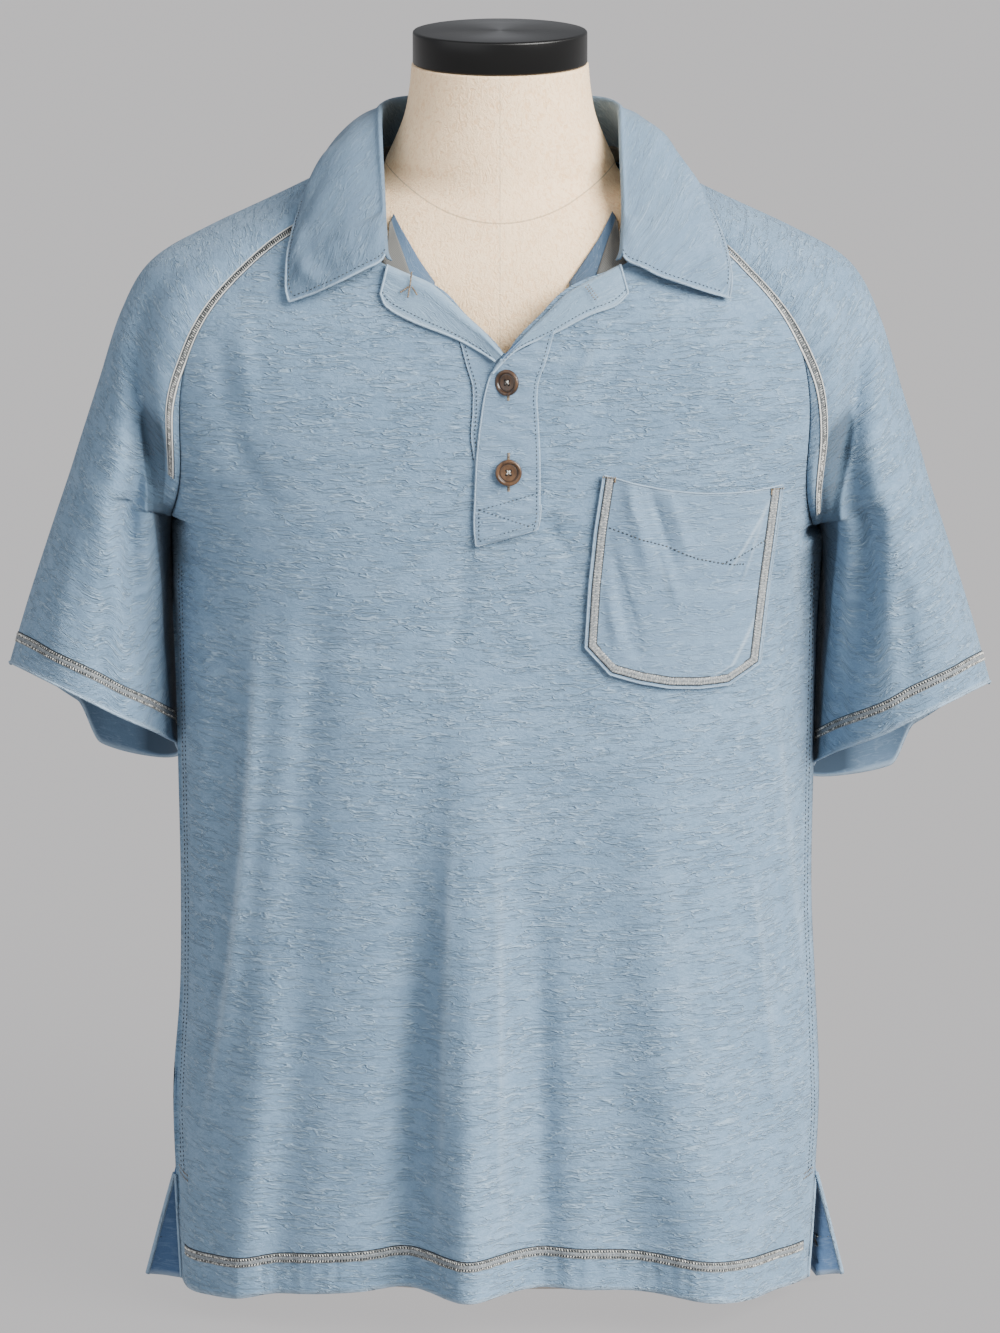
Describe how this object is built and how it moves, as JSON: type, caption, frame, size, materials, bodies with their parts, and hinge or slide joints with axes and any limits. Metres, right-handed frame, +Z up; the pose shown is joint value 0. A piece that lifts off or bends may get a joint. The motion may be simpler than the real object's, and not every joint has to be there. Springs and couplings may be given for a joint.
{
  "type": "polo shirt on a dress form",
  "caption": "Short-sleeved raglan polo shirt with open collar, buttoned placket and chest pocket, filled out on a limbless countertop dress form.",
  "frame": {"origin": "on the surface that the form's plinth stands on, below the middle of the neck", "axes": "+Z up; the shirt's front faces -Y; the wearer's left sleeve and the pocket are at +X"},
  "size_m": [0.6468, 0.3011, 0.848],
  "materials": {
    "washed_jersey": "washed light-blue slub jersey",
    "twill_tape": "grey twill tape",
    "horn": "brown horn",
    "linen_cover": "cream linen stretched over the form",
    "black_satin": "black satin lacquer"
  },
  "bodies": {
    "root": {"front": "washed_jersey", "back": "washed_jersey", "sleeve_right": "washed_jersey", "sleeve_left": "washed_jersey", "collar": "washed_jersey", "neck_tape": "twill_tape", "placket_over": "washed_jersey", "placket_under": "washed_jersey", "placket_turn_right": "washed_jersey", "placket_turn_left": "washed_jersey", "pocket": "washed_jersey", "button_upper": "horn", "button_lower": "horn", "form_body": "linen_cover", "form_cap": "black_satin", "form_plinth": "linen_cover"}
  },
  "joints": []
}
